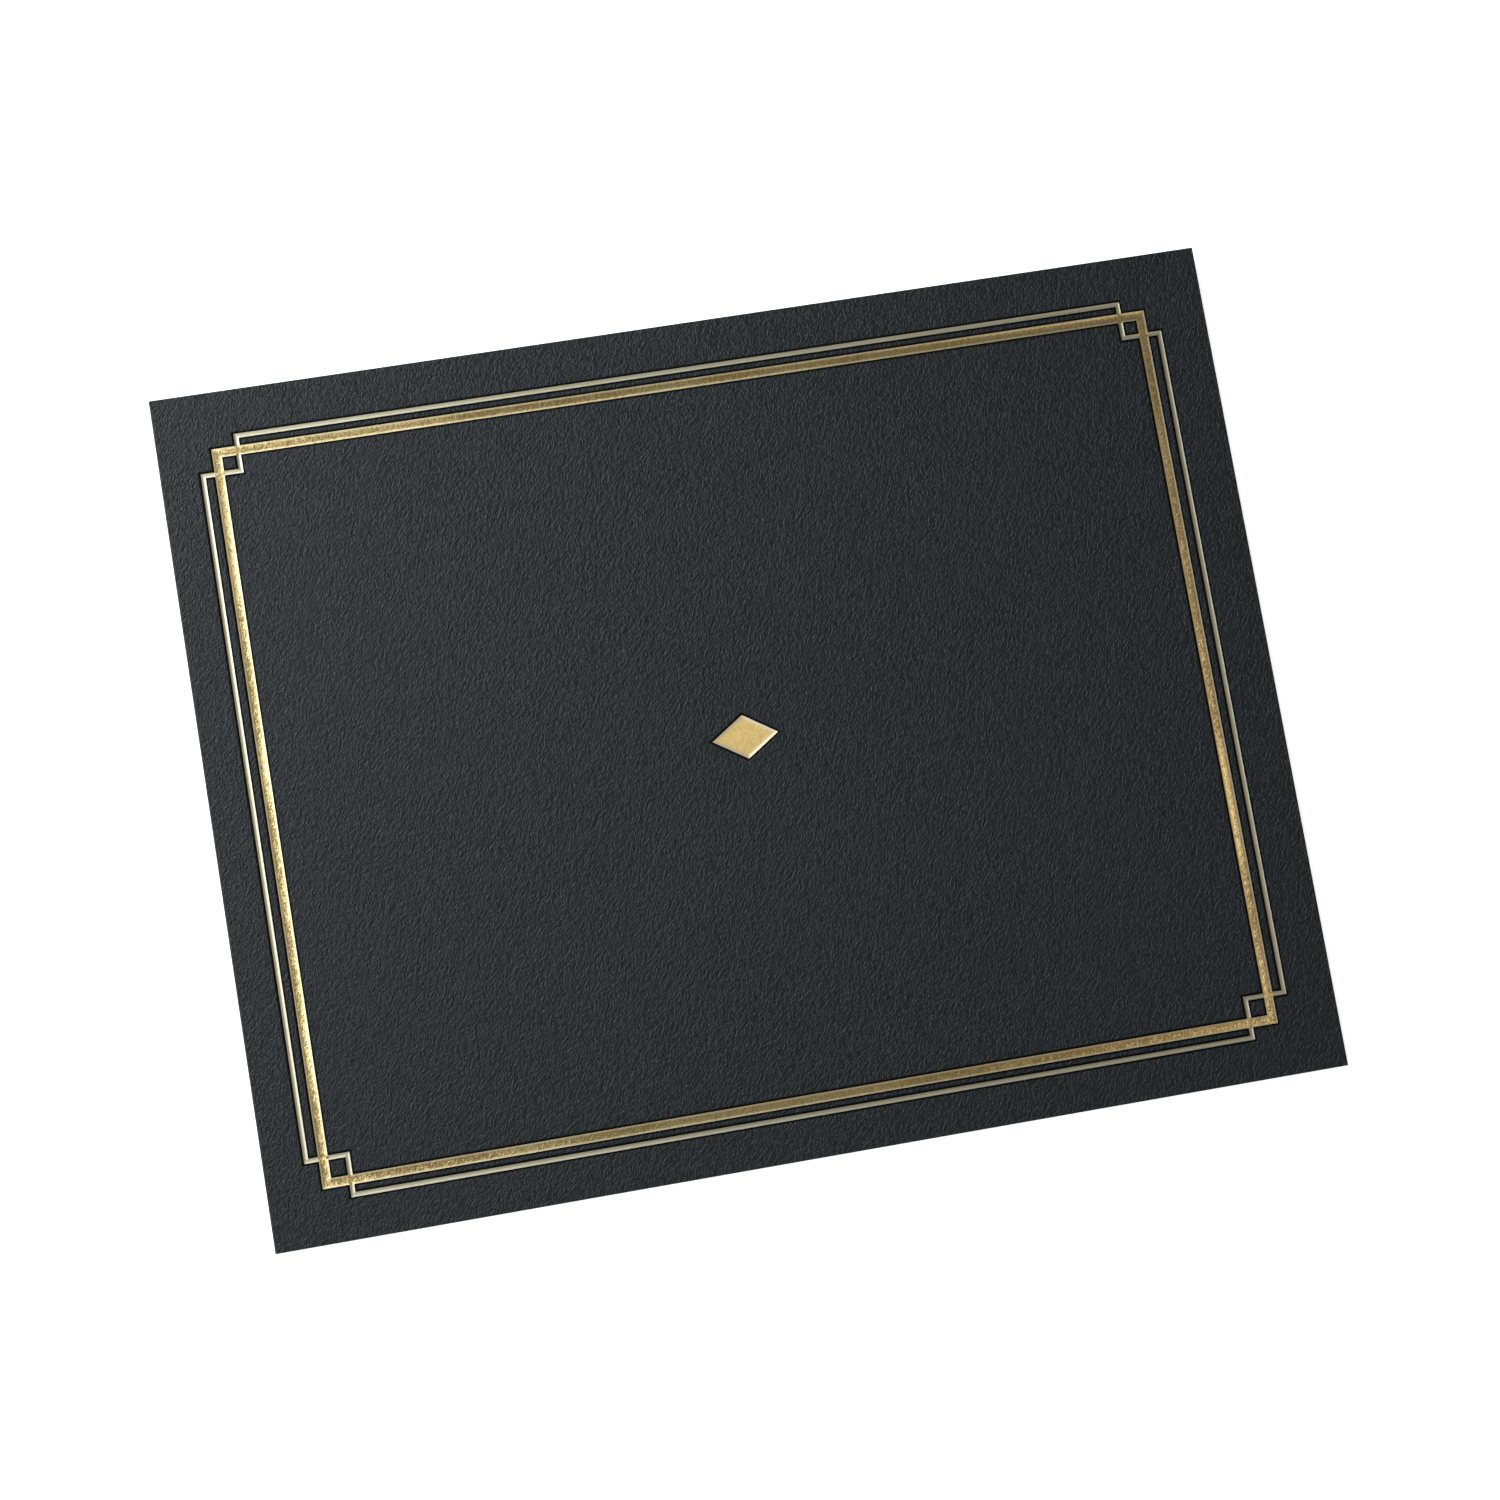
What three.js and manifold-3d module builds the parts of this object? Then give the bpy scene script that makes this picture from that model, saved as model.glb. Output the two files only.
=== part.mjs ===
// Diploma cover: one sheet of leather-grained card, creased and folded once like a book, with a
// border and a diamond stamped in gold foil on its front, and four slits in its back that hold the
// corners of the diploma.
//
// Millimetres, +Z up. The closed cover lies on its back. X runs from the fold at the left to the
// free edge, Y from the foot to the head, and the origin is under the middle of the back.
import * as THREE from 'three';
import { mergeVertices } from 'three/addons/utils/BufferGeometryUtils.js';
import Module from 'manifold-3d';

const wasm = await Module();
wasm.setup();

// The folded sheet.
const coverLength = 304.8; // fold to free edge
const coverWidth = 241.3; // foot to head
const cardThickness = 0.45;
const creaseInnerRadius = 0.1; // inside of the bend, so the covers meet twice this apart
const creaseSegments = 5; // half the facets of a quarter of the bend
const springOpenAngle = 0.4; // degrees that the crease holds the front cover open

// The stamp, as one die pressed it, a little nearer to the fold and the foot than to the other edges.
const foldMargin = 11.4; // from the fold to the outside of the thin line
const freeMargin = 13.7; // the same from the free edge
const footMargin = 11.65;
const headMargin = 12.95;
const stampDepth = 0.14; // from the card's surface to the floor of a groove

// The border: a band, and a thin line round it that steps inside it at each corner.
const lineWidth = 1.25;
const lineWallRun = 0.45; // how far a sloping wall reaches in from the edge of the groove
const bandWidth = 2.6;
const bandWallRun = 0.65;
const lineToBandX = 2.75; // bare card between line and band, at the left and right
const lineToBandY = 2.25; // the same at the foot and head
const footStepX = 11.35; // how far the line steps in at the two lower corners
const footStepY = 11.15;
const headStepX = 10.75; // and at the two upper corners
const headStepY = 10.15;

// The diamond in the middle of the border.
const diamondLength = 18.9;
const diamondWidth = 12.6;
const diamondWallRun = 0.9;
const diamondDepth = 0.2;

// The foil lines the grooves.
const foilThickness = 0.05;
const foilClearance = 0.02; // between the foil and the card under it

// The slits that the corners of the diploma go through.
const diplomaMargin = 12.7; // from the edges of the diploma to those of the cover
const slitReach = 22; // from a corner of the diploma, along each edge, to the slit
const slitOverrun = 3; // length of slit past each edge of the diploma
const slitWidth = 0.5;
const slitEndSegments = 4; // half the facets of a round end

// Sizes that follow from those above.
const creaseOuterRadius = creaseInnerRadius + cardThickness;
const lineLeft = foldMargin;
const lineRight = coverLength - freeMargin;
const lineFoot = footMargin - coverWidth / 2;
const lineHead = coverWidth / 2 - headMargin;
const diplomaLength = coverLength - 2 * diplomaMargin;
const diplomaWidth = coverWidth - 2 * diplomaMargin;
const mostRunShare = 0.45; // of a groove's width, so that its two walls leave a floor
const cutterRise = 1; // how far a cutter stands out of the card

// A closed geometry as a solid that can be joined and cut.
function solidOf(geometry) {
  const bare = geometry.clone();
  bare.deleteAttribute('normal');
  bare.deleteAttribute('uv');
  const merged = mergeVertices(bare);
  const mesh = new wasm.Mesh({
    numProp: 3,
    vertProperties: merged.attributes.position.array,
    triVerts: new Uint32Array(merged.index.array),
  });
  return new wasm.Manifold(mesh);
}

// A solid as a geometry with flat facets.
function geometryOf(solid) {
  const mesh = solid.getMesh();
  const indexed = new THREE.BufferGeometry();
  indexed.setAttribute('position', new THREE.BufferAttribute(mesh.vertProperties, 3));
  indexed.setIndex(new THREE.BufferAttribute(mesh.triVerts, 1));
  const faceted = indexed.toNonIndexed();
  faceted.computeVertexNormals();
  return faceted;
}

// One cover with its half of the bend, as a section carried from foot to head. The section starts on
// the hinge line, which is the outermost line of the fold. side is 1 for the front, -1 for the back.
function coverSheet(side) {
  const section = new THREE.Path();
  section.absarc(creaseOuterRadius, 0, creaseOuterRadius, Math.PI, Math.PI / 2, true);
  section.lineTo(coverLength, creaseOuterRadius);
  section.lineTo(coverLength, creaseInnerRadius);
  section.absarc(creaseOuterRadius, 0, creaseInnerRadius, Math.PI / 2, Math.PI, false);
  const outline = section.getPoints(creaseSegments).map((p) => new THREE.Vector2(p.x, side * p.y));
  const geometry = new THREE.ExtrudeGeometry(new THREE.Shape(outline), {
    depth: coverWidth,
    bevelEnabled: false,
  });
  geometry.rotateX(Math.PI / 2);
  geometry.translate(0, coverWidth / 2, 0);
  return solidOf(geometry);
}

// A ring of the die, with walls that slope in to its floor. lift raises it from full depth.
function ringDie(outside, inside, wallRun, lift) {
  const shape = new THREE.Shape(outside);
  shape.holes.push(new THREE.Path(inside));
  const geometry = new THREE.ExtrudeGeometry(shape, {
    depth: cutterRise,
    bevelThickness: stampDepth,
    bevelSize: wallRun,
    bevelOffset: -wallRun,
    bevelSegments: 1,
  });
  geometry.translate(0, 0, creaseOuterRadius + lift);
  return solidOf(geometry);
}

// The band's outline, moved inwards by inset.
function bandOutline(inset) {
  const left = lineLeft + lineWidth + lineToBandX + inset;
  const right = lineRight - lineWidth - lineToBandX - inset;
  const foot = lineFoot + lineWidth + lineToBandY + inset;
  const head = lineHead - lineWidth - lineToBandY - inset;
  return [
    new THREE.Vector2(left, foot),
    new THREE.Vector2(right, foot),
    new THREE.Vector2(right, head),
    new THREE.Vector2(left, head),
  ];
}

// The thin line's outline, moved inwards by inset: a rectangle with a step at each corner.
function lineOutline(inset) {
  const corners = [
    { x: lineLeft + inset, y: lineFoot + inset, inX: footStepX, inY: footStepY },
    { x: lineRight - inset, y: lineFoot + inset, inX: -footStepX, inY: footStepY },
    { x: lineRight - inset, y: lineHead - inset, inX: -headStepX, inY: -headStepY },
    { x: lineLeft + inset, y: lineHead - inset, inX: headStepX, inY: -headStepY },
  ];
  return corners.flatMap(({ x, y, inX, inY }) => {
    const step = [
      new THREE.Vector2(x, y + inY),
      new THREE.Vector2(x + inX, y + inY),
      new THREE.Vector2(x + inX, y),
    ];
    return inX * inY > 0 ? step : step.reverse();
  });
}

// The die of the whole border. Band and line cross twice at each corner and are one piece there.
function borderDie(lift) {
  const bandRun = Math.min(bandWallRun, mostRunShare * bandWidth);
  const lineRun = Math.min(lineWallRun, mostRunShare * lineWidth);
  const band = ringDie(bandOutline(0), bandOutline(bandWidth), bandRun, lift);
  const line = ringDie(lineOutline(0), lineOutline(lineWidth), lineRun, lift);
  return band.add(line);
}

// The die of the diamond: a four-sided frustum. Its scale at any height follows from how far the
// wall has sloped in there, as a share of the distance from the middle to a side.
function diamondDie(lift) {
  const halfLength = diamondLength / 2;
  const halfWidth = diamondWidth / 2;
  const middleToSide = (halfLength * halfWidth) / Math.hypot(halfLength, halfWidth);
  const slope = diamondWallRun / diamondDepth / middleToSide;
  const topScale = 1 + slope * cutterRise;
  const floorScale = 1 - slope * diamondDepth;
  const height = cutterRise + diamondDepth;
  const geometry = new THREE.CylinderGeometry(topScale, floorScale, height, 4);
  geometry.rotateX(Math.PI / 2);
  geometry.scale(halfLength, halfWidth, 1);
  geometry.translate(
    (lineLeft + lineRight) / 2,
    (lineFoot + lineHead) / 2,
    creaseOuterRadius + lift - diamondDepth + height / 2,
  );
  return solidOf(geometry);
}

// The foil that lines what a die presses: the layer between the die at two heights, up to the
// surface of the sheet.
function foilOf(sheet, die) {
  const underside = sheet.intersect(die(foilClearance));
  return underside.subtract(die(foilClearance + foilThickness));
}

// One slit across a corner of the diploma, at 45 degrees, with round ends.
function slitCutter(sideX, sideY) {
  const halfLength = (slitReach * Math.SQRT2) / 2 + slitOverrun;
  const shape = new THREE.Shape();
  shape.absarc(halfLength, 0, slitWidth / 2, -Math.PI / 2, Math.PI / 2, false);
  shape.absarc(-halfLength, 0, slitWidth / 2, Math.PI / 2, Math.PI * 1.5, false);
  const geometry = new THREE.ExtrudeGeometry(shape, {
    depth: cardThickness + 2 * cutterRise,
    bevelEnabled: false,
    curveSegments: slitEndSegments,
  });
  geometry.rotateZ((-sideX * sideY * Math.PI) / 4);
  geometry.translate(
    coverLength / 2 + (sideX * (diplomaLength - slitReach)) / 2,
    (sideY * (diplomaWidth - slitReach)) / 2,
    -creaseOuterRadius - cutterRise,
  );
  return solidOf(geometry);
}

function makeFrontCover(sheet) {
  return sheet.subtract(borderDie(0)).subtract(diamondDie(0));
}

function makeBackCover() {
  let cover = coverSheet(-1);
  for (const sideX of [-1, 1]) {
    for (const sideY of [-1, 1]) {
      cover = cover.subtract(slitCutter(sideX, sideY));
    }
  }
  return cover;
}

function makeMesh(name, solid, color, roughness, metalness) {
  const material = new THREE.MeshStandardMaterial({ color, roughness, metalness });
  const mesh = new THREE.Mesh(geometryOf(solid), material);
  mesh.name = name;
  return mesh;
}

const cardColor = 0x25292d;
const cardRoughness = 0.55;
const foilColor = 0xc8a964;
const foilRoughness = 0.3;

// The front cover and its foil turn together about the hinge line.
const frontSheet = coverSheet(1);
const front = new THREE.Group();
front.rotation.y = -THREE.MathUtils.degToRad(springOpenAngle);
front.add(makeMesh('front_cover', makeFrontCover(frontSheet), cardColor, cardRoughness, 0));
front.add(makeMesh('foil_border', foilOf(frontSheet, borderDie), foilColor, foilRoughness, 1));
front.add(makeMesh('foil_diamond', foilOf(frontSheet, diamondDie), foilColor, foilRoughness, 1));

// The hinge line lies above the left edge of the back, at half the height of the fold.
const hinge = new THREE.Group();
hinge.position.set(-coverLength / 2, 0, creaseOuterRadius);
hinge.add(makeMesh('back_cover', makeBackCover(), cardColor, cardRoughness, 0));
hinge.add(front);

const diplomaCover = new THREE.Group();
diplomaCover.add(hinge);

export default diplomaCover;
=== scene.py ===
# Diploma cover: a sheet of leather-grained card, folded once like a book, with a border and a
# diamond stamped in gold foil on its front. Metres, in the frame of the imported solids.
import math
import bpy
import numpy as np
from mathutils import Matrix, Vector


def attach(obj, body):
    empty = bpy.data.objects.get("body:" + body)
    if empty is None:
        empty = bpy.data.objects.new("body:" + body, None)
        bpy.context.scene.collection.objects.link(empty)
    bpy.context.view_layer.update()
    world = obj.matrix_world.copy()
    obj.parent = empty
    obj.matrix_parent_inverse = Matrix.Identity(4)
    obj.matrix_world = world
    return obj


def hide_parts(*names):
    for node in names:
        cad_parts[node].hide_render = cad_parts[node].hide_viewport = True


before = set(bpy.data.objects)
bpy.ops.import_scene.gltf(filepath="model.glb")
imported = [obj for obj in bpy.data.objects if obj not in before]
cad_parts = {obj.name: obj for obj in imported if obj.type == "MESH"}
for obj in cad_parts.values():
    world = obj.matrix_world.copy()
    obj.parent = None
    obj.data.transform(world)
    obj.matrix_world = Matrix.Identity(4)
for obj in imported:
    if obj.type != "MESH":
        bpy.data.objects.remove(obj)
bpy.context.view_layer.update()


# Front cover. The upper half of the folded sheet: heavy card with a leather grain rolled into its
# outside, creased along the fold at the left, its three other edges cut. The heated die pushed
# grooves into it, so the card round them sinks and is made smooth, and its material darkens it
# there with painted shade, a dark outline round the foil.
MM = 0.001
COVER_LENGTH = 304.8 * MM
COVER_WIDTH = 241.3 * MM
CARD_THICKNESS = 0.45 * MM
FOLD_RADIUS = 0.55 * MM  # outside of the bend
SPRING_OPEN = math.radians(0.4)
CURL = 0.8  # share of the rise at the free edge that comes from a gentle curve of the card
HINGE_GAP = 0.01 * MM  # between the two halves at the hinge line, so that they swing clear
CUT_EDGE_RADIUS = 0.09 * MM

LINE_LEFT = 11.4 * MM
LINE_RIGHT = COVER_LENGTH - 13.7 * MM
LINE_FOOT = 11.65 * MM - COVER_WIDTH / 2
LINE_HEAD = COVER_WIDTH / 2 - 12.95 * MM
LINE_WIDTH = 1.25 * MM
LINE_WALL_RUN = 0.45 * MM
LINE_TO_BAND_X = 2.75 * MM
LINE_TO_BAND_Y = 2.25 * MM
FOOT_STEP = (11.35 * MM, 11.15 * MM)  # the line's steps at the two lower corners
HEAD_STEP = (10.75 * MM, 10.15 * MM)
BAND_WIDTH = 2.6 * MM
BAND_WALL_RUN = 0.65 * MM
BAND_RECT = (
    LINE_LEFT + LINE_WIDTH + LINE_TO_BAND_X,
    LINE_RIGHT - LINE_WIDTH - LINE_TO_BAND_X,
    LINE_FOOT + LINE_WIDTH + LINE_TO_BAND_Y,
    LINE_HEAD - LINE_WIDTH - LINE_TO_BAND_Y,
)
STAMP_DEPTH = 0.14 * MM
DIAMOND_X = (LINE_LEFT + LINE_RIGHT) / 2
DIAMOND_Y = (LINE_FOOT + LINE_HEAD) / 2
DIAMOND_HALF = (18.9 / 2 * MM, 12.6 / 2 * MM)
DIAMOND_WALL_RUN = 0.9 * MM
DIAMOND_DEPTH = 0.2 * MM

SHOULDER = 0.8 * MM  # how far outside the foil the card starts to sink
SHOULDER_DEPTH = 0.035 * MM
SHOULDER_KNEE = (0.4, 0.25)  # where it steepens, as shares of its width and of its depth
WALL_FOOT = (0.08 * MM, 0.05 * MM)  # how far its easing reaches up the wall and out on the floor
WALL_FOOT_DEPTH = 0.93  # where the easing starts, as a share of the groove's depth
MARK_SHARE = 0.2  # of the stamp's depth, raised on the inside
SMOOTHING_AND_SHADE_RISE = 2.2  # the card is smoothed, and darkened with painted shade, in full 1 / 2.2 of the way across the shoulder

FOLD_STEPS = 8
ROLL_STEPS = 3
FILL_STEP = 7 * MM  # the widest gap between two grid lines
GUARD = 0.25 * MM  # from a curved strip to the next grid line, so that its shading stays narrow
NEAR = 0.001 * MM  # less than any gap between two grid lines
LINE_DIGITS = 8
DIAMOND_FRAME = (12 * MM, 9 * MM)  # half of the rectangle of sheet that holds the diamond
FRAME_STEPS = (24, 18)
FLOOR_RINGS = (1.8 * MM, 3 * MM, 4.2 * MM)  # rings of points on the diamond's floor


def rectangle_inset(x, y, left, right, foot, head):
    """How far a point lies inside a rectangle: the least of its distances to the four sides."""
    return np.minimum(np.minimum(x - left, right - x), np.minimum(y - foot, head - y))


def band_inset(x, y):
    """How far a point lies inside the band, measured from its nearer edge, and below 0 outside."""
    inset = rectangle_inset(x, y, *BAND_RECT)
    return np.minimum(inset, BAND_WIDTH - inset)


def line_inset(x, y):
    """The same for the thin line. Its outline is a rectangle without its four corners, so inside
    means inside the rectangle and past the step of each corner in x or in y."""
    inset = rectangle_inset(x, y, LINE_LEFT, LINE_RIGHT, LINE_FOOT, LINE_HEAD)
    for from_y, (step_x, step_y) in ((y - LINE_FOOT, FOOT_STEP), (LINE_HEAD - y, HEAD_STEP)):
        for from_x in (x - LINE_LEFT, LINE_RIGHT - x):
            inset = np.minimum(inset, np.maximum(from_x - step_x, from_y - step_y))
    return np.minimum(inset, LINE_WIDTH - inset)


def groove_offsets(wall_run):
    """Distances in from the edge of a groove at which its slope changes: the start and the knee
    of the shoulder outside it, the edge, and both ends of the easing at the foot of its wall."""
    shoulder = [-SHOULDER, -SHOULDER_KNEE[0] * SHOULDER]
    return [*shoulder, 0, wall_run - WALL_FOOT[0], wall_run + WALL_FOOT[1]]


def groove_depth(inset, wall_run, depth):
    """Depth of a stamped groove: a soft shoulder outside its edge, a straight sloping wall, and a
    flat floor, with the foot of the wall eased."""
    shoulder = [0, SHOULDER_KNEE[1] * SHOULDER_DEPTH, SHOULDER_DEPTH]
    depths = [*shoulder, WALL_FOOT_DEPTH * depth, depth]
    return np.interp(inset, groove_offsets(wall_run), depths)


def stamp_depth(x, y):
    """Depth of the border: the deeper of the band's groove and the line's."""
    band = groove_depth(band_inset(x, y), BAND_WALL_RUN, STAMP_DEPTH)
    line = groove_depth(line_inset(x, y), LINE_WALL_RUN, STAMP_DEPTH)
    return np.maximum(band, line)


def edge_roll(x, y):
    """How far the surface rolls down within a small radius of the three cut edges."""
    to_edge = np.minimum(COVER_LENGTH - x, COVER_WIDTH / 2 - np.abs(y))
    reach = np.clip(CUT_EDGE_RADIUS - to_edge, 0, CUT_EDGE_RADIUS)
    return CUT_EDGE_RADIUS - np.sqrt(CUT_EDGE_RADIUS**2 - reach**2)


def cover_point(x, y, below):
    """Place of a point of the front cover. x runs along the sheet from the fold, y from the middle,
    and below is the distance under its outside. The section is a quarter circle at the fold, then
    a shallow curve that sags under the straight line to the free edge. The whole is turned about
    the hinge line by the spring of the crease."""
    sine, cosine = math.sin(SPRING_OPEN), math.cos(SPRING_OPEN)
    turn = np.clip(1 - x / FOLD_RADIUS, 0, 1) * math.pi / 2
    radius = FOLD_RADIUS - below
    run = np.clip((x - FOLD_RADIUS) / (COVER_LENGTH - FOLD_RADIUS), 0, 1)
    section_x = np.maximum(x, FOLD_RADIUS) - radius * np.sin(turn)
    section_z = radius * np.cos(turn) - CURL * COVER_LENGTH * sine * run * (1 - run)
    place_x = -COVER_LENGTH / 2 + section_x * cosine - section_z * sine
    place_z = FOLD_RADIUS + section_x * sine + section_z * cosine
    return np.stack([place_x, y, place_z], axis=-1)


def groove_lines(edge, inwards, wall_run):
    """Grid lines beside one edge of a groove, wherever its slope changes."""
    offsets = np.array([-SHOULDER - GUARD, *groove_offsets(wall_run)])
    return list(edge + inwards * offsets)


def across_lines(low, high, band, steps):
    """Grid lines across the sheet in one direction, at both edges of the thin line, which lies
    between low and high and steps in at its corners, and at both edges of the band."""
    lines = []
    for edge, inwards in ((low, 1), (high, -1)):
        for start in (0, *steps):
            lines += groove_lines(edge + inwards * start, inwards, LINE_WALL_RUN)
            lines += groove_lines(edge + inwards * (start + LINE_WIDTH), -inwards, LINE_WALL_RUN)
    for edge, inwards in ((band[0], 1), (band[1], -1)):
        lines += groove_lines(edge, inwards, BAND_WALL_RUN)
        lines += groove_lines(edge + inwards * BAND_WIDTH, -inwards, BAND_WALL_RUN)
    return lines


def filled(lines):
    """The lines in order and without doubles, with more lines where a gap is wide."""
    lines = np.unique(np.round(lines, LINE_DIGITS))
    more = []
    for start, gap in zip(lines, np.diff(lines)):
        if gap > FILL_STEP:
            count = int(gap / FILL_STEP)
            more.append(start + gap * np.arange(1, count + 1) / (count + 1))
    return np.unique(np.round(np.concatenate([lines, *more]), LINE_DIGITS))


roll_lines = CUT_EDGE_RADIUS * (1 - np.cos(np.linspace(0, math.pi / 2, ROLL_STEPS + 1)))
roll_lines = np.append(roll_lines, CUT_EDGE_RADIUS + GUARD)
sheet_x = filled([
    *across_lines(LINE_LEFT, LINE_RIGHT, BAND_RECT[:2], (FOOT_STEP[0], HEAD_STEP[0])),
    *np.linspace(HINGE_GAP, FOLD_RADIUS, FOLD_STEPS + 1),
    FOLD_RADIUS + GUARD,
    *(COVER_LENGTH - roll_lines),
    *(DIAMOND_X + DIAMOND_FRAME[0] * np.linspace(-1, 1, FRAME_STEPS[0] + 1)),
])
sheet_y = filled([
    *across_lines(LINE_FOOT, LINE_HEAD, BAND_RECT[2:], (FOOT_STEP[1], HEAD_STEP[1])),
    *(roll_lines - COVER_WIDTH / 2),
    *(COVER_WIDTH / 2 - roll_lines),
    *(DIAMOND_Y + DIAMOND_FRAME[1] * np.linspace(-1, 1, FRAME_STEPS[1] + 1)),
])


def cell_triangles(index, height, middle_height, keep):
    """Two triangles for each kept cell of a grid of points, split along the diagonal whose mean
    height is nearer to the true height at the middle of the cell, so that mitres stay sharp."""
    a, b = index[:-1, :-1], index[1:, :-1]
    c, d = index[1:, 1:], index[:-1, 1:]
    rising = np.abs((height[:-1, :-1] + height[1:, 1:]) / 2 - middle_height)
    falling = np.abs((height[1:, :-1] + height[:-1, 1:]) / 2 - middle_height)
    along_rising = (rising <= falling) & keep
    along_falling = (rising > falling) & keep
    return np.concatenate([
        np.stack([a[along_rising], b[along_rising], c[along_rising]], axis=-1),
        np.stack([a[along_rising], c[along_rising], d[along_rising]], axis=-1),
        np.stack([a[along_falling], b[along_falling], d[along_falling]], axis=-1),
        np.stack([b[along_falling], c[along_falling], d[along_falling]], axis=-1),
    ])


def strip_triangles(upper, lower):
    """A closed or open wall between two rows of points of the same length. Walking along the upper
    row with the wall's outside on the right, the faces point outwards."""
    return np.concatenate([
        np.stack([upper[:-1], lower[:-1], lower[1:]], axis=-1),
        np.stack([upper[:-1], lower[1:], upper[1:]], axis=-1),
    ])


def ring_faces(rings, centre):
    """Triangles between closed rings of points, each inside the one before, and a fan to the
    middle."""
    closed = np.concatenate([rings, rings[:, :1]], axis=1)
    faces = [strip_triangles(closed[k + 1], closed[k]) for k in range(len(rings) - 1)]
    last = closed[-1]
    fan = np.stack([last[:-1], last[1:], np.full(len(last) - 1, centre)], axis=-1)
    return np.concatenate([*faces, fan])


def frame_places():
    """Places round the rectangle that holds the diamond, from -1 to 1 in x and in y, starting in
    the middle of its right side and going up."""
    steps_x, steps_y = FRAME_STEPS
    place_x = np.concatenate([
        np.full(steps_y // 2, 1.0),
        np.linspace(1, -1, steps_x + 1)[:-1],
        np.full(steps_y, -1.0),
        np.linspace(-1, 1, steps_x + 1)[:-1],
        np.full(steps_y // 2, 1.0),
    ])
    place_y = np.concatenate([
        np.linspace(0, 1, steps_y // 2 + 1)[:-1],
        np.full(steps_x, 1.0),
        np.linspace(1, -1, steps_y + 1)[:-1],
        np.full(steps_x, -1.0),
        np.linspace(-1, 0, steps_y // 2 + 1)[:-1],
    ])
    return place_x, place_y


def diamond_rings(place_x, place_y, offsets):
    """Points of the diamond on rings. Each ring is the diamond's outline shrunk so that its sides
    move in by one of the offsets. A point's share of the way from tip to tip comes from its place
    round the rectangle."""
    share = np.where(np.abs(place_x) == 1, np.abs(place_y) / 2, 1 - np.abs(place_x) / 2)
    outline_x = DIAMOND_HALF[0] * (1 - share) * np.sign(place_x)
    outline_y = DIAMOND_HALF[1] * share * np.sign(place_y)
    middle_to_side = DIAMOND_HALF[0] * DIAMOND_HALF[1] / math.hypot(*DIAMOND_HALF)
    scale = 1 - offsets[:, None] / middle_to_side
    return DIAMOND_X + scale * outline_x, DIAMOND_Y + scale * outline_y


def shaded_mesh(name, points, triangles, smooth_angle):
    """A mesh from arrays of points and triangles, smooth where its faces meet below an angle."""
    mesh = bpy.data.meshes.new(name)
    mesh.from_pydata(points.tolist(), [], triangles.tolist())
    mesh.polygons.foreach_set("use_smooth", np.ones(len(triangles), dtype=bool))
    mesh.set_sharp_from_angle(angle=math.radians(smooth_angle))
    mesh.update()
    piece = bpy.data.objects.new(name, mesh)
    bpy.context.scene.collection.objects.link(piece)
    return piece


def set_values(piece, **values):
    """Gives the points of a piece one number each under every name, for its material."""
    for name, numbers in values.items():
        piece.data.attributes.new(name, "FLOAT", "POINT").data.foreach_set("value", numbers)


# The sheet's grid, with a hole for the diamond.
grid_x, grid_y = np.meshgrid(sheet_x, sheet_y, indexing="ij")
middle_x = (grid_x[:-1, :-1] + grid_x[1:, 1:]) / 2
middle_y = (grid_y[:-1, :-1] + grid_y[1:, 1:]) / 2
in_frame = (np.abs(middle_x - DIAMOND_X) < DIAMOND_FRAME[0]) & (
    np.abs(middle_y - DIAMOND_Y) < DIAMOND_FRAME[1]
)
stamped = stamp_depth(grid_x, grid_y)
grid_index = np.arange(grid_x.size).reshape(grid_x.shape)
grid_faces = cell_triangles(grid_index, stamped, stamp_depth(middle_x, middle_y), ~in_frame)

# The hole is filled by rings that change from its rectangle to the diamond.
ring_offsets = np.array([-SHOULDER - GUARD, *groove_offsets(DIAMOND_WALL_RUN), *FLOOR_RINGS])
frame_x, frame_y = frame_places()
ring_x, ring_y = diamond_rings(frame_x, frame_y, ring_offsets)
ring_inset = np.broadcast_to(ring_offsets[:, None], ring_x.shape)
ring_depth = groove_depth(ring_inset, DIAMOND_WALL_RUN, DIAMOND_DEPTH)
frame_i = np.searchsorted(sheet_x, DIAMOND_X + frame_x * DIAMOND_FRAME[0] - NEAR)
frame_j = np.searchsorted(sheet_y, DIAMOND_Y + frame_y * DIAMOND_FRAME[1] - NEAR)
patch_index = grid_x.size + np.arange(ring_x.size).reshape(ring_x.shape)
patch_index = np.concatenate([grid_index[frame_i, frame_j][None], patch_index])
patch_faces = ring_faces(patch_index, grid_x.size + ring_x.size)

# The outside and the inside of the card have the same points of the sheet. The die leaves a faint
# raised mark of its pattern on the inside.
point_x = np.concatenate([grid_x.ravel(), ring_x.ravel(), [DIAMOND_X]])
point_y = np.concatenate([grid_y.ravel(), ring_y.ravel(), [DIAMOND_Y]])
point_depth = np.concatenate([stamped.ravel(), ring_depth.ravel(), [DIAMOND_DEPTH]])
point_roll = edge_roll(point_x, point_y)
front_points = np.concatenate([
    cover_point(point_x, point_y, point_depth + point_roll),
    cover_point(point_x, point_y, CARD_THICKNESS - point_roll + MARK_SHARE * point_depth),
])
outside_faces = np.concatenate([grid_faces, patch_faces])
inside_faces = outside_faces[:, ::-1] + len(point_x)
rim = np.concatenate(
    [grid_index[:-1, 0], grid_index[-1, :-1], grid_index[:0:-1, -1], grid_index[0, ::-1]]
)
edge_faces = strip_triangles(rim, rim + len(point_x))
front_faces = np.concatenate([outside_faces, inside_faces, edge_faces])
front_card = shaded_mesh("front_cover_card", front_points, front_faces, 40)
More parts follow.
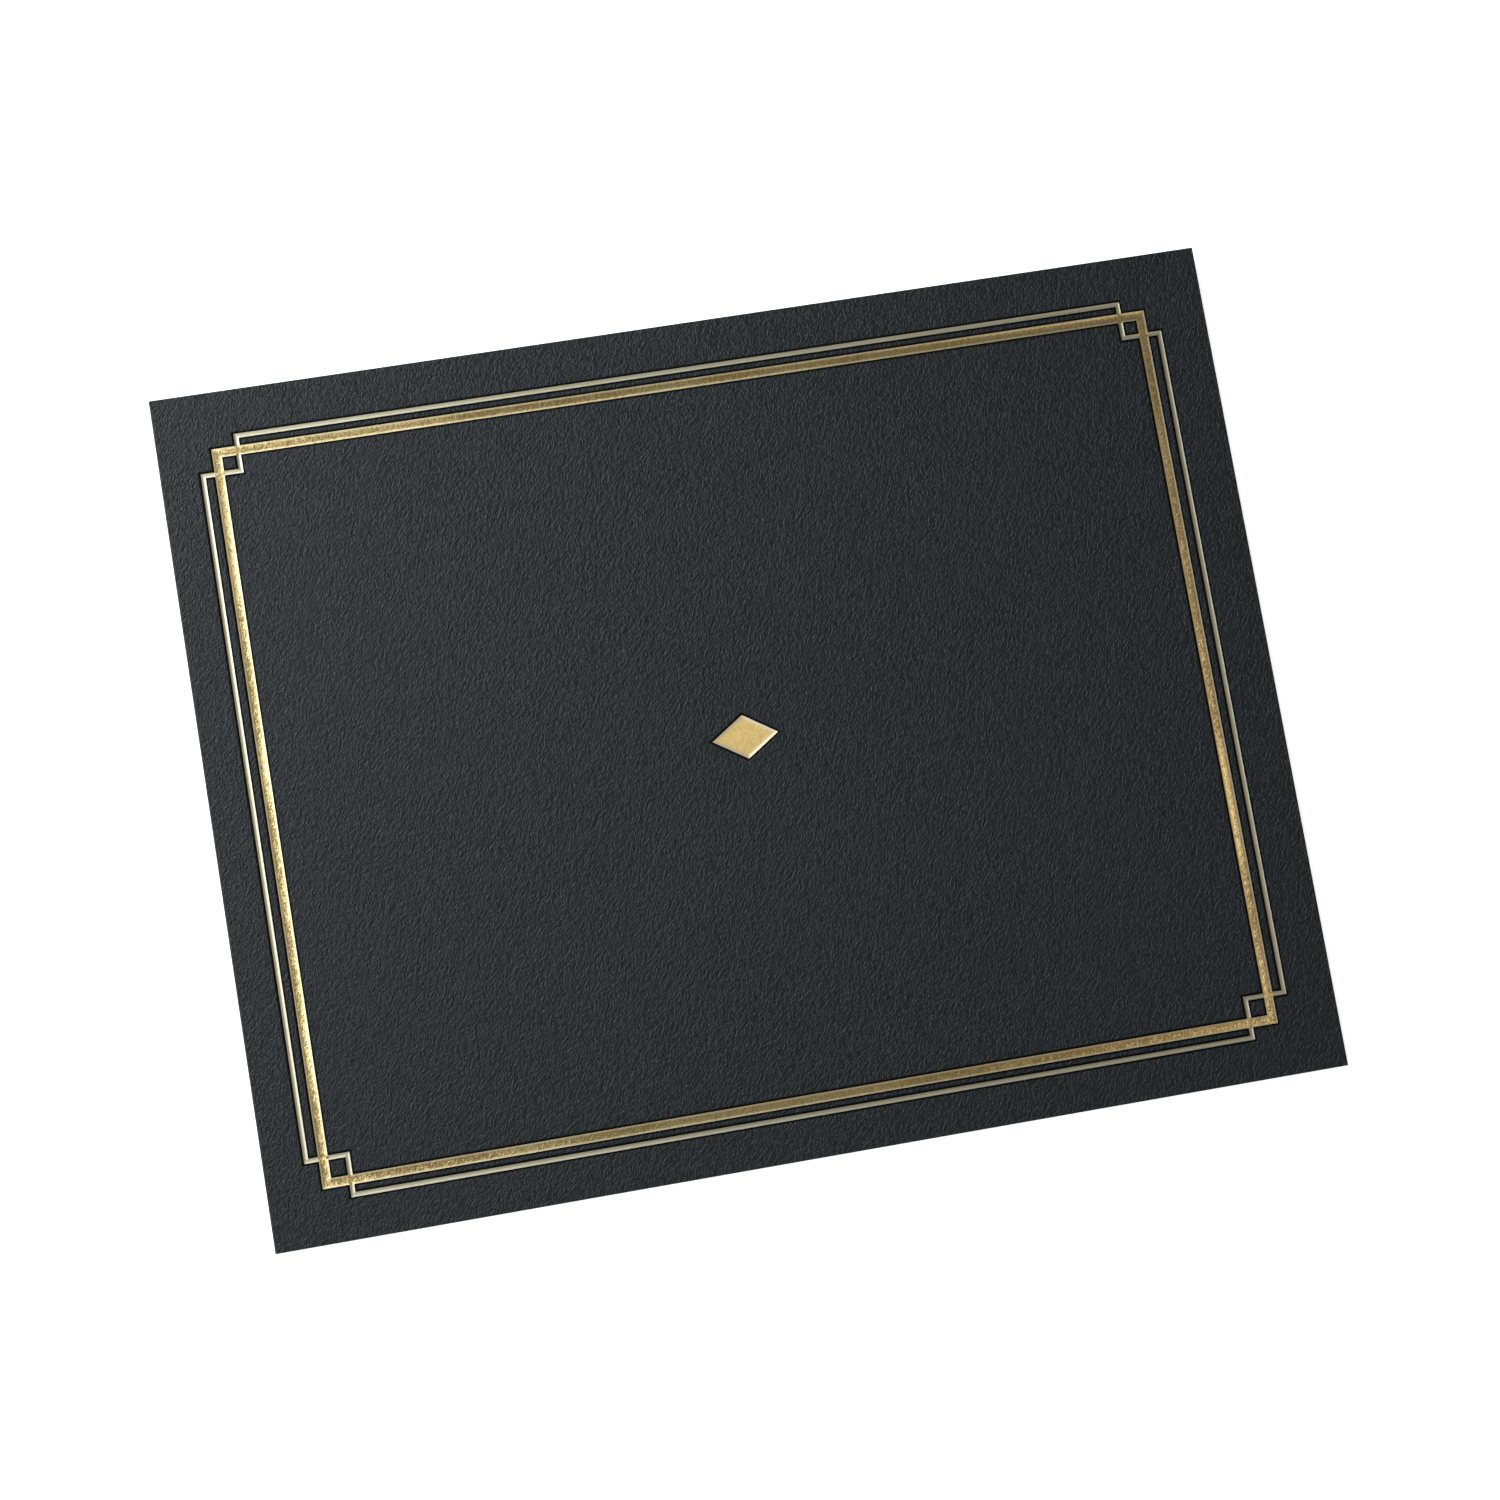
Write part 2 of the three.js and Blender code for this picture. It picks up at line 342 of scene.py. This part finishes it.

# The smoothing, and the painted shade that darkens the card with it, are in full on the floor and
# walls of a groove, and end with its shoulder.
border_inset = np.maximum(band_inset(grid_x, grid_y), line_inset(grid_x, grid_y))
inset = np.concatenate([border_inset.ravel(), ring_inset.ravel(), [DIAMOND_HALF[1]]])
smoothing_and_shade_share = np.clip(SMOOTHING_AND_SHADE_RISE * (1 + inset / SHOULDER), 0, 1)
set_values(
    front_card,
    ironed=np.concatenate([smoothing_and_shade_share, np.zeros(len(smoothing_and_shade_share))]),
    inside=np.repeat([0.0, 1.0], len(smoothing_and_shade_share)),
)


class Channel:
    """One socket of a material's nodes. An expression on channels and numbers adds Math nodes."""

    def __init__(self, finish, socket):
        self.finish = finish
        self.socket = socket

    def math(self, operation, *values):
        return self.finish.node(
            "ShaderNodeMath", {"operation": operation}, dict(enumerate(values))
        )

    def __add__(self, other):
        return self.math("ADD", self, other)

    __radd__ = __add__

    def __sub__(self, other):
        return self.math("SUBTRACT", self, other)

    def __rsub__(self, other):
        return self.math("SUBTRACT", other, self)

    def __mul__(self, other):
        return self.math("MULTIPLY", self, other)

    __rmul__ = __mul__

    def clamp(self):
        return self.math("MINIMUM", self.math("MAXIMUM", self, 0.0), 1.0)


class Finish:
    """A node material with one Principled shader."""

    def __init__(self, name):
        self.material = bpy.data.materials.new(name)
        self.material.use_nodes = True
        self.tree = self.material.node_tree
        self.shader = self.tree.nodes["Principled BSDF"]

    def node(self, kind, settings=None, sockets=None, out=0):
        """Adds one node: its settings first, then the values or links of its sockets."""
        node = self.tree.nodes.new(kind)
        for name, value in (settings or {}).items():
            setattr(node, name, value)
        for name, value in (sockets or {}).items():
            self.put(node.inputs[name], value)
        return Channel(self, node.outputs[out])

    def put(self, socket, value):
        """Links a channel to a socket, or sets the socket to a plain value."""
        if isinstance(value, Channel):
            self.tree.links.new(value.socket, socket)
        else:
            socket.default_value = value

    def set(self, **values):
        """Sets or links the shader's own sockets, with _ for a space in a name."""
        for name, value in values.items():
            self.put(self.shader.inputs[name.replace("_", " ")], value)

    def place(self):
        """Object coordinates, in metres."""
        return self.node("ShaderNodeTexCoord", out=3)

    def vector(self, operation, *values, out=0):
        """Vector Math on channels and triples of numbers. A length is its output 1."""
        return self.node(
            "ShaderNodeVectorMath", {"operation": operation}, dict(enumerate(values)), out
        )

    def mapped(self, scale, turn=0.0):
        """Object coordinates turned about Z and scaled, from metres to pattern units."""
        turned = self.node(
            "ShaderNodeMapping",
            {"vector_type": "POINT"},
            {"Vector": self.place(), "Rotation": (0, 0, turn)},
        )
        return self.vector("MULTIPLY", turned, scale)

    def attribute(self, name):
        """The piece's own value of that name at its points."""
        return self.node(
            "ShaderNodeAttribute", {"attribute_type": "GEOMETRY", "attribute_name": name}, out=2
        )

    def noise(self, vector, detail=2.0, roughness=0.5, distortion=0.0):
        return self.node(
            "ShaderNodeTexNoise",
            {"noise_dimensions": "3D"},
            {
                "Vector": vector,
                "Scale": 1.0,
                "Detail": detail,
                "Roughness": roughness,
                "Distortion": distortion,
            },
        )

    def ramp(self, value, low, high):
        """0 below low, 1 above high, smooth between."""
        return self.node(
            "ShaderNodeMapRange",
            {"interpolation_type": "SMOOTHSTEP"},
            {"Value": value, "From Min": low, "From Max": high},
        )

    def mix(self, share, first, second):
        """A colour between two colours."""
        return self.node(
            "ShaderNodeMix", {"data_type": "RGBA"}, {0: share, 6: first, 7: second}, out=2
        )

    def bump(self, height, distance):
        """Normal of a surface raised by height times distance in metres."""
        return self.node("ShaderNodeBump", {}, {"Height": height, "Distance": distance})


# The patterns of the card's grain and of the paper's fibre, in units to the metre.
RIDGES = (1250, 700, 700)
FOLDS = (2300, 1100, 1100)
TOOTH = (5200, 5200, 5200)
FIBRE = (300, 1000, 1000)
BROAD = (14, 14, 14)
GRAIN_TURN = math.radians(30)  # the grain's ridges lean to the right of the short side
FIBRE_TURN = 0.35
GRAIN_HEIGHT = 0.16 * MM
# the grain's creases get painted shade, a darker colour; its ridges are worn paler
CREASE_SHADE_COLOR = (0.0010, 0.0022, 0.0032, 1)
RIDGE_COLOR = (0.0044, 0.0092, 0.0126, 1)
DARK_FIBRE_COLOR = (0.009, 0.011, 0.013, 1)
PALE_FIBRE_COLOR = (0.032, 0.036, 0.040, 1)
CARD_ROUGHNESS = 0.42
CARD_SHEEN = 0.36
CARD_SHEEN_TINT = (0.92, 0.955, 0.985, 1)


def leather_card(name, find_inside):
    """Card with a leather grain rolled into its outside: short wavy ridges in a finer tooth, with
    the ridges worn paler and painted shade darkening the creases. Where the die pushed it in, the
    card is smoothed, and painted shade darkens it as an outline round the foil: it is painted
    darker and made mostly a dark metal in the shader, which takes its pale sheen away. The inside
    is plain, with the fibre of the paper. find_inside gives the channel that is 1 on the inside."""
    finish = Finish(name)
    inside = find_inside(finish)
    ridges = finish.noise(finish.mapped(RIDGES, GRAIN_TURN), 1.5, 0.5, 1.0)
    folds = finish.noise(finish.mapped(FOLDS, GRAIN_TURN), 1.0, 0.5, 0.5)
    tooth = finish.noise(finish.mapped(TOOTH), 1.0)
    fibre = finish.noise(finish.mapped(FIBRE, FIBRE_TURN), 4.0, 0.65, 1.6)
    broad = finish.noise(finish.mapped(BROAD), 2.0)
    smoothed_and_shaded = finish.attribute("ironed")
    raised = finish.ramp(ridges * 0.80 + folds * 0.20, 0.33, 0.66)
    relief = raised * (1 - smoothed_and_shaded * 0.85) + tooth * 0.10
    # painted shade: darker in the creases of the grain, and darker still round the foil
    shade = (raised * 0.7 + broad * 0.5 - smoothed_and_shaded * 1.2).clamp()
    grained_color = finish.mix(shade, CREASE_SHADE_COLOR, RIDGE_COLOR)
    fibre_shade = finish.ramp(fibre * 0.9 + broad * 0.1, 0.43, 0.60)
    fibre_color = finish.mix(fibre_shade, DARK_FIBRE_COLOR, PALE_FIBRE_COLOR)
    finish.set(
        Base_Color=finish.mix(inside, grained_color, fibre_color),
        # painted shade: the card round the foil is made a dark metal, which takes its sheen away
        Metallic=0.9 * smoothed_and_shaded,
        Roughness=CARD_ROUGHNESS + 0.16 * tooth - 0.06 * raised + inside * broad * 0.2,
        Normal=finish.bump(relief * (1 - inside) + fibre * inside * 0.7, GRAIN_HEIGHT),
        Specular_IOR_Level=CARD_SHEEN,
        Specular_Tint=CARD_SHEEN_TINT,
    )
    return finish


front_finish = leather_card("leather_card_front", lambda finish: finish.attribute("inside"))
front_card.data.materials.append(front_finish.material)
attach(front_card, "front")
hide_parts("front_cover")


# Foil of the border. Gold foil a few thousandths of a millimetre thick, bonded to the card by the
# hot die, so it lines the groove of the band and of the thin line and takes the card's grain.
FOIL_LIFT = 0.02 * MM  # of the foil's face over the card
FOIL_UNDERSIDE = 0.005 * MM
BORDER_FLOOR_START = 0.35  # share of the depth at which the floor's look starts to fade in
FOIL_GRAIN = (1300, 700, 700)  # patterns to the metre
FOIL_FLECKS = (2600, 1500, 1500)
FOIL_CLOUDS = (26, 26, 26)
FOIL_GRAIN_HEIGHT = 0.035 * MM
FOIL_ROUGHNESS = 0.38
LINE_GOLD = (0.575, 0.55, 0.41, 1)
BARE_COLOR = (0.22, 0.14, 0.05, 1)


def foil_grid(index, keep, height, middle_height, first):
    """Faces of a thin closed sheet over the kept cells of a grid: the face, the underside with the
    same points shifted by first, and a rim on each edge that only one kept cell has."""
    face = cell_triangles(index, height, middle_height, keep)
    edges = np.concatenate([face[:, [0, 1]], face[:, [1, 2]], face[:, [2, 0]]])
    forth = edges[:, 0] * first + edges[:, 1]
    back = edges[:, 1] * first + edges[:, 0]
    border = edges[~np.isin(forth, back)]
    rims = np.concatenate([
        np.stack([border[:, 0], border[:, 0] + first, border[:, 1] + first], axis=-1),
        np.stack([border[:, 0], border[:, 1] + first, border[:, 1]], axis=-1),
    ])
    return np.concatenate([face, face[:, ::-1] + first, rims])


def used_only(points, faces):
    """Drops the points that no face uses."""
    used, faces = np.unique(faces, return_inverse=True)
    return points[used], faces.reshape(-1, 3), used


def floor_share(depth, floor, start):
    """1 on the floor of a groove, falling to 0 up its walls, from start as a share of its depth."""
    return np.clip((depth / floor - start) / (1 - start), 0, 1)


def gold_foil(name, mottle, wall_color, floor_color, floor_roughness):
    """Stamped gold foil: pale gold on the walls, and on the floor the grain of the card under it,
    with dark flecks where the foil took less well. mottle is how much of the floor they cover."""
    finish = Finish(name)
    floor = finish.attribute("floor")
    grain = finish.noise(finish.mapped(FOIL_GRAIN, GRAIN_TURN), 2.0, 0.6, 0.8)
    fleck = finish.noise(finish.mapped(FOIL_FLECKS, GRAIN_TURN), 2.0, 0.6, 0.5)
    cloud = finish.ramp(finish.noise(finish.mapped(FOIL_CLOUDS), 1.0), 0.40, 0.60)
    bare = finish.ramp(grain * 0.5 + fleck * 0.5 + cloud * 0.10, 0.47, 0.64) * floor * mottle
    walls = finish.mix(finish.attribute("thin"), wall_color, LINE_GOLD)
    finish.set(
        Base_Color=finish.mix(bare, finish.mix(floor, walls, floor_color), BARE_COLOR),
        Metallic=1 - 0.3 * bare,
        Roughness=FOIL_ROUGHNESS + 0.10 * fleck + (floor_roughness - FOIL_ROUGHNESS) * floor,
        Normal=finish.bump(grain * floor + fleck * 0.2, FOIL_GRAIN_HEIGHT),
    )
    return finish


middle_inset = np.maximum(band_inset(middle_x, middle_y), line_inset(middle_x, middle_y))
border_faces = foil_grid(
    grid_index, middle_inset > 0, stamped, stamp_depth(middle_x, middle_y), grid_x.size
)
border_points = np.concatenate([
    cover_point(grid_x, grid_y, stamped - FOIL_LIFT).reshape(-1, 3),
    cover_point(grid_x, grid_y, stamped - FOIL_UNDERSIDE).reshape(-1, 3),
])
border_points, border_faces, border_used = used_only(border_points, border_faces)
border_foil = shaded_mesh("foil_border_lining", border_points, border_faces, 60)

in_band = band_inset(grid_x, grid_y) > -NEAR
border_floor = floor_share(stamped, STAMP_DEPTH, BORDER_FLOOR_START) * in_band
border_thin = (line_inset(grid_x, grid_y) > band_inset(grid_x, grid_y)).astype(float)
set_values(
    border_foil,
    floor=np.tile(border_floor.ravel(), 2)[border_used],
    thin=np.tile(border_thin.ravel(), 2)[border_used],
)
border_gold = gold_foil(
    "gold_foil_border", 0.85, (0.84, 0.74, 0.48, 1), (0.96, 0.77, 0.37, 1), 0.22
)
border_foil.data.materials.append(border_gold.material)
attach(border_foil, "front")
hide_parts("foil_border")


# Foil of the diamond in the middle of the border. The same foil in a deeper groove with four broad
# sloping sides.
DIAMOND_FLOOR_START = 0.93  # as BORDER_FLOOR_START, so the walls stay pale up to the floor

foil_rows = ring_offsets >= 0
foil_index = np.arange(ring_x[foil_rows].size).reshape(ring_x[foil_rows].shape)
foil_x = np.append(ring_x[foil_rows], DIAMOND_X)
foil_y = np.append(ring_y[foil_rows], DIAMOND_Y)
foil_depth = np.append(ring_depth[foil_rows], DIAMOND_DEPTH)
diamond_points = np.concatenate([
    cover_point(foil_x, foil_y, foil_depth - FOIL_LIFT),
    cover_point(foil_x, foil_y, foil_depth - FOIL_UNDERSIDE),
])
face = ring_faces(foil_index, foil_index.size)
outer_ring = np.append(foil_index[0], foil_index[0, 0])
diamond_faces = np.concatenate([
    face,
    face[:, ::-1] + foil_x.size,
    strip_triangles(outer_ring, outer_ring + foil_x.size),
])
diamond_foil = shaded_mesh("foil_diamond_lining", diamond_points, diamond_faces, 60)
set_values(
    diamond_foil,
    thin=np.zeros(2 * foil_x.size),
    floor=np.tile(floor_share(foil_depth, DIAMOND_DEPTH, DIAMOND_FLOOR_START), 2),
)
diamond_gold = gold_foil(
    "gold_foil_diamond", 0.22, (1.0, 0.89, 0.62, 1), (1.0, 0.76, 0.32, 1), 0.44
)
diamond_foil.data.materials.append(diamond_gold.material)
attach(diamond_foil, "front")
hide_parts("foil_diamond")


# Back cover. The lower half of the same folded sheet, flat on the table, with four slits for the
# corners of the diploma. The solid has its real shape, so it stays and takes the card's finish.
INSIDE_END = (0.29 * MM, 0.36 * MM)  # from the axis of the bend, between the card's two faces


def back_inside(finish):
    """1 on the inner face of the lower half. The distance from the axis of the bend, or beyond the
    bend from the plane at its height, is small there and large on the outside."""
    axis = (FOLD_RADIUS - COVER_LENGTH / 2, 0, FOLD_RADIUS)
    offset = finish.vector("SUBTRACT", finish.place(), axis)
    across = finish.vector("MULTIPLY", offset, (1, 0, 1))
    bent = finish.vector("MINIMUM", across, (0, 0, 1))
    distance = finish.vector("LENGTH", bent, out=1)
    return 1 - finish.ramp(distance, *INSIDE_END)


back_finish = leather_card("leather_card_back", back_inside)
back_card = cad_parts["back_cover"]
back_card.data.materials.clear()
back_card.data.materials.append(back_finish.material)


# Table, studio lights and camera. A plain pale table that sweeps up into a low backdrop, broad
# soft lights, and the camera where the photographer held it, above and a little to the left.
TABLE_DROP = 0.02 * MM  # below the back cover
FIRST_RING = 0.4
TABLE_RADIUS = 2.4
SWEEP_RADIUS = 0.6
SWEEP_STEPS = 12
BACKDROP_HEIGHT = 0.8
ROUND_STEPS = 96
TABLE_GLOW = 0.75  # keeps the table pure white in the picture
GLOW_START = (0.13, 0.1523)  # just inside the cover's edge, as a distance along its length
SENSOR_WIDTH = 36
FOCAL_LENGTH = SENSOR_WIDTH * 2498 / 1500  # 2498 pixels of a photo 1500 pixels wide
CAMERA_PLACE = Vector((-63.712, -72.160, 703.641)) * MM
CAMERA_LOOK = Vector((0.089296, 0.095482, -0.991418)).normalized()
CAMERA_UP = Vector((0.158742, 0.981306, 0.108806)).normalized()
CAMERA_RIGHT = CAMERA_LOOK.cross(CAMERA_UP).normalized()
NEUTRAL = (1.0, 1.0, 0.99)
WARM = (1.0, 0.88, 0.74)

arc = np.linspace(0, math.pi / 2, SWEEP_STEPS + 1)
outside = TABLE_RADIUS + SWEEP_RADIUS
sweep_r = np.concatenate([[FIRST_RING], TABLE_RADIUS + SWEEP_RADIUS * np.sin(arc), [outside]])
sweep_z = np.concatenate([[0], SWEEP_RADIUS * (1 - np.cos(arc)), [BACKDROP_HEIGHT]]) - TABLE_DROP
around = np.linspace(0, 2 * math.pi, ROUND_STEPS, endpoint=False)
table_points = np.stack([
    np.outer(sweep_r, np.cos(around)),
    np.outer(sweep_r, np.sin(around)),
    np.outer(sweep_z, np.ones(ROUND_STEPS)),
], axis=-1).reshape(-1, 3)
table_index = np.arange(len(table_points)).reshape(len(sweep_r), ROUND_STEPS)[::-1]
table_points = np.concatenate([table_points, [[0, 0, sweep_z[0]]]])
table_faces = ring_faces(table_index, len(table_points) - 1)
table = shaded_mesh("studio_table", table_points, table_faces, 60)

# The table glows a little, but not under the cover, where the glow would light up the slits.
table_finish = Finish("pale_table")
square_place = table_finish.vector(
    "MULTIPLY", table_finish.place(), (1, COVER_LENGTH / COVER_WIDTH, 1)
)
from_middle = table_finish.vector("LENGTH", square_place, out=1)
glow = table_finish.ramp(from_middle, *GLOW_START)
table_finish.set(
    Base_Color=(0.9, 0.9, 0.9, 1),
    Roughness=0.8,
    Specular_IOR_Level=0.2,
    Emission_Color=table_finish.mix(glow, (0, 0, 0, 1), (1, 1, 1, 1)),
    Emission_Strength=TABLE_GLOW,
)
table.data.materials.append(table_finish.material)


def soft_light(name, place, size, power, color):
    """A square soft box of that side at a place, turned to face the middle of the cover."""
    lamp = bpy.data.lights.new(name, "AREA")
    lamp.shape = "SQUARE"
    lamp.size = size
    lamp.energy = power
    lamp.color = color
    light = bpy.data.objects.new(name, lamp)
    light.location = place
    light.rotation_euler = (-Vector(place)).to_track_quat("-Z", "Y").to_euler()
    bpy.context.scene.collection.objects.link(light)


soft_light("key_light", (-0.98, 0.92, 0.85), 0.9, 24, NEUTRAL)
soft_light("side_light", (-1.38, -0.10, 0.82), 0.9, 6.5, NEUTRAL)
soft_light("sheen_left", (-0.68, 0.10, 1.40), 0.7, 5.3, (1.0, 1.0, 0.98))
soft_light("head_light", (-0.15, 0.95, 1.20), 0.5, 1.4, (1.0, 0.98, 0.93))
soft_light("foot_light", (-0.45, -0.80, 1.20), 0.6, 1.3, NEUTRAL)
soft_light("sheen_right", (0.68, 0.03, 1.48), 0.45, 0.95, WARM)
soft_light("fill_right", (0.55, -0.40, 1.30), 0.5, 0.36, WARM)
world = bpy.data.worlds.new("studio_world")
world.use_nodes = True
world.node_tree.nodes["Background"].inputs["Color"].default_value = (1, 1, 1, 1)
world.node_tree.nodes["Background"].inputs["Strength"].default_value = 0.03
bpy.context.scene.world = world
bpy.context.scene.view_settings.view_transform = "Standard"

camera_data = bpy.data.cameras.new("camera")
camera_data.sensor_width = SENSOR_WIDTH
camera_data.lens = FOCAL_LENGTH
camera_data.clip_start = 0.01
camera = bpy.data.objects.new("camera", camera_data)
turn = Matrix((CAMERA_RIGHT, CAMERA_RIGHT.cross(CAMERA_LOOK), -CAMERA_LOOK)).transposed()
camera.matrix_world = Matrix.Translation(CAMERA_PLACE) @ turn.to_4x4()
bpy.context.scene.collection.objects.link(camera)
bpy.context.scene.camera = camera
